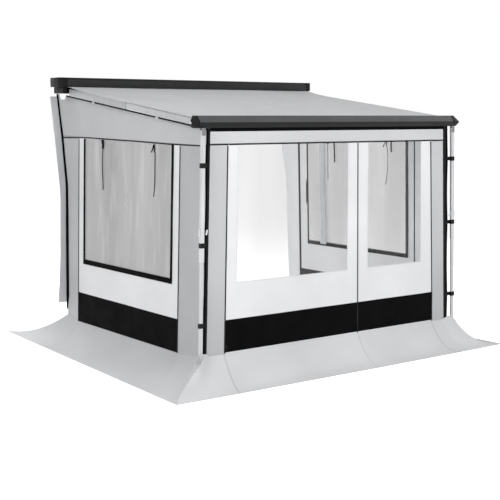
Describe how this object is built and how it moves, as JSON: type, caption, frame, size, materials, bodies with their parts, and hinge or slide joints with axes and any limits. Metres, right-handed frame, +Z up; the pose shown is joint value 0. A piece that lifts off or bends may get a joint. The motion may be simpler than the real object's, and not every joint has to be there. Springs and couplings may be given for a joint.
{
  "type": "van awning room",
  "caption": "Zip-on awning room under a cassette awning: sloping roof, clear film windows, swinging door panels, telescopic legs and a flared mud skirt.",
  "frame": {"origin": "centre of the footprint on the ground, under the middle of the bounding box", "axes": "+X to the right for someone who looks at the front wall, +Y from the front wall back to the van, +Z up"},
  "size_m": [3.7343, 3.4966, 2.5355],
  "materials": {
    "graphite": "satin",
    "cap_graphite": "satin",
    "alloy": "anodised",
    "rafter_metal": "satin",
    "rafter_white": "satin",
    "black_plastic": "matte",
    "slider_black": "satin",
    "roof_cloth": "woven",
    "grey_cloth": "woven",
    "pale_cloth": "woven",
    "panel_cloth": "coated",
    "clear_film": "clear"
  },
  "bodies": {
    "room_frame": {"cassette_housing": "graphite", "lead_rail": "graphite", "roof_canopy": "roof_cloth", "front_valance": "pale_cloth", "front_corner_left": "pale_cloth", "front_corner_right": "pale_cloth", "skirt_front": "pale_cloth", "cassette_cap_left": "cap_graphite", "wall_bracket_left": "black_plastic", "lead_rail_cap_left": "black_plastic", "rafter_rear_left": "rafter_metal", "rafter_front_left": "rafter_white", "arm_upper_left": "alloy", "arm_fore_left": "alloy", "arm_shoulder_left": "black_plastic", "leg_yoke_left": "alloy", "leg_outer_left": "alloy", "edge_strip_left": "black_plastic", "gable_left": "grey_cloth", "side_rear_strip_left": "grey_cloth", "side_front_strip_left": "grey_cloth", "draught_flap_left": "pale_cloth", "skirt_left": "grey_cloth", "cassette_cap_right": "cap_graphite", "wall_bracket_right": "black_plastic", "lead_rail_cap_right": "black_plastic", "rafter_rear_right": "rafter_metal", "rafter_front_right": "rafter_white", "arm_upper_right": "alloy", "arm_fore_right": "alloy", "arm_shoulder_right": "black_plastic", "leg_yoke_right": "alloy", "leg_outer_right": "alloy", "edge_strip_right": "black_plastic", "gable_right": "grey_cloth", "side_rear_strip_right": "grey_cloth", "side_front_strip_right": "grey_cloth", "draught_flap_right": "pale_cloth", "skirt_right": "grey_cloth"},
    "front_door_left": {"front_door_left": "panel_cloth", "front_window_left": "clear_film"},
    "front_door_right": {"front_door_right": "panel_cloth", "front_window_right": "clear_film"},
    "zip_slider_left": {"zip_slider_left": "slider_black"},
    "zip_slider_middle": {"zip_slider_middle": "slider_black"},
    "zip_slider_right": {"zip_slider_right": "slider_black"},
    "side_door_left": {"side_door_left": "panel_cloth"},
    "side_window_left": {"side_window_left": "clear_film", "window_tie_left_rear": "black_plastic", "window_tie_left_front": "black_plastic"},
    "leg_inner_left": {"leg_inner_left": "alloy"},
    "leg_lever_left": {"leg_lever_left": "rafter_white"},
    "side_door_right": {"side_door_right": "panel_cloth"},
    "side_window_right": {"side_window_right": "clear_film", "window_tie_right_rear": "black_plastic", "window_tie_right_front": "black_plastic"},
    "leg_inner_right": {"leg_inner_right": "alloy"},
    "leg_lever_right": {"leg_lever_right": "rafter_white"},
    "roller": {"roller_tube": "alloy"},
    "winch_eye": {"winch_eye": "alloy"}
  },
  "joints": [
    {"name": "front_door_left_hinge", "type": "hinge", "parent": "room_frame", "child": "front_door_left", "pos_m": [-1.19147, -1.41823, 0.255], "axis": [-0.0225, 0, -0.9997], "range_deg": [0, 95]},
    {"name": "front_door_right_hinge", "type": "hinge", "parent": "room_frame", "child": "front_door_right", "pos_m": [1.20904, -1.41823, 0.255], "axis": [-0.0229, 0, 0.9997], "range_deg": [0, 95]},
    {"name": "zip_left_slide", "type": "slide", "parent": "front_door_left", "child": "zip_slider_left", "axis": [0.0225, 0, 0.9997], "range_m": [0, 1.6]},
    {"name": "zip_middle_slide", "type": "slide", "parent": "front_door_left", "child": "zip_slider_middle", "axis": [-0.0051, 0, 1], "range_m": [0, 1.6]},
    {"name": "zip_right_slide", "type": "slide", "parent": "front_door_right", "child": "zip_slider_right", "axis": [-0.0229, 0, 0.9997], "range_m": [0, 1.6]},
    {"name": "side_door_left_hinge", "type": "hinge", "parent": "room_frame", "child": "side_door_left", "pos_m": [-1.39667, 0.73977, 0.217], "axis": [-0.0264, 0, -0.9997], "range_deg": [0, 90]},
    {"name": "side_window_left_hinge", "type": "hinge", "parent": "side_door_left", "child": "side_window_left", "pos_m": [-1.35127, -0.15323, 1.93656], "axis": [0.0004, 0.9999, 0.014], "range_deg": [0, 90]},
    {"name": "leg_left_slide", "type": "slide", "parent": "room_frame", "child": "leg_inner_left", "axis": [0.0202, 0, 0.9998], "range_m": [0, 0.2]},
    {"name": "leg_lever_left_hinge", "type": "hinge", "parent": "room_frame", "child": "leg_lever_left", "pos_m": [-1.44964, -1.43423, 1.29048], "axis": [0, 1, 0], "range_deg": [0, 100]},
    {"name": "side_door_right_hinge", "type": "hinge", "parent": "room_frame", "child": "side_door_right", "pos_m": [1.39667, 0.73977, 0.217], "axis": [-0.0264, 0, 0.9997], "range_deg": [0, 90]},
    {"name": "side_window_right_hinge", "type": "hinge", "parent": "side_door_right", "child": "side_window_right", "pos_m": [1.35127, -0.15323, 1.93656], "axis": [0.0004, -0.9999, -0.014], "range_deg": [0, 90]},
    {"name": "leg_right_slide", "type": "slide", "parent": "room_frame", "child": "leg_inner_right", "axis": [-0.0306, 0, 0.9995], "range_m": [0, 0.2]},
    {"name": "leg_lever_right_hinge", "type": "hinge", "parent": "room_frame", "child": "leg_lever_right", "pos_m": [1.46581, -1.43423, 1.29073], "axis": [0, -1, 0], "range_deg": [0, 100]},
    {"name": "roller_turn", "type": "hinge", "parent": "room_frame", "child": "roller", "pos_m": [0, 0.86677, 2.48694], "axis": [1, 0, 0], "range_deg": [0, 24]},
    {"name": "winch_turn", "type": "hinge", "parent": "room_frame", "child": "winch_eye", "pos_m": [1.4753, 0.86677, 2.398], "axis": [0, 0, 1], "range_deg": [0, 360]}
  ],
  "couplings": [
    {"joint": "winch_turn", "follows": "roller_turn", "ratio": 15}
  ]
}
